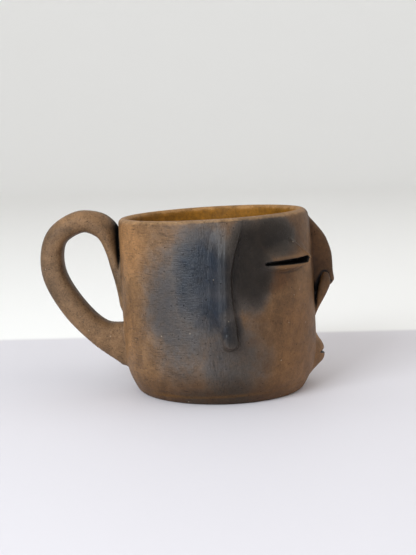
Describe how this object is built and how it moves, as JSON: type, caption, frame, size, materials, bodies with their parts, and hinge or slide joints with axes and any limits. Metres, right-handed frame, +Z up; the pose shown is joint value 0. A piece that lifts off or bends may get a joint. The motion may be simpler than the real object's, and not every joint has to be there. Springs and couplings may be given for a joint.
{
  "type": "face mug",
  "caption": "Hand-built clay cup with a coil handle on the back and a luted face with ears, half-closed eyes, a fin-like nose and pouting lips on the front.",
  "frame": {"origin": "middle of the foot, on the plane the cup stands on", "axes": "+Z up; the face looks along -Y, the handle is at +Y, and the figure's own right side is -X"},
  "size_m": [0.1, 0.1387, 0.0851],
  "materials": {
    "cup_clay": "burnished, smoke-clouded",
    "rim_clay": "burnished",
    "handle_clay": "burnished",
    "face_clay": "burnished, smoke-clouded"
  },
  "bodies": {
    "root": {"floor_slab": "cup_clay", "cup_wall": "cup_clay", "rim_coil": "rim_clay", "handle": "handle_clay", "nose_bridge": "face_clay", "right_nostril": "face_clay", "left_nostril": "face_clay", "right_ear": "face_clay", "left_ear": "face_clay", "right_upper_eyelid": "face_clay", "right_lower_eyelid": "face_clay", "left_upper_eyelid": "face_clay", "left_lower_eyelid": "face_clay", "upper_lip": "face_clay", "lower_lip": "face_clay"}
  },
  "joints": []
}
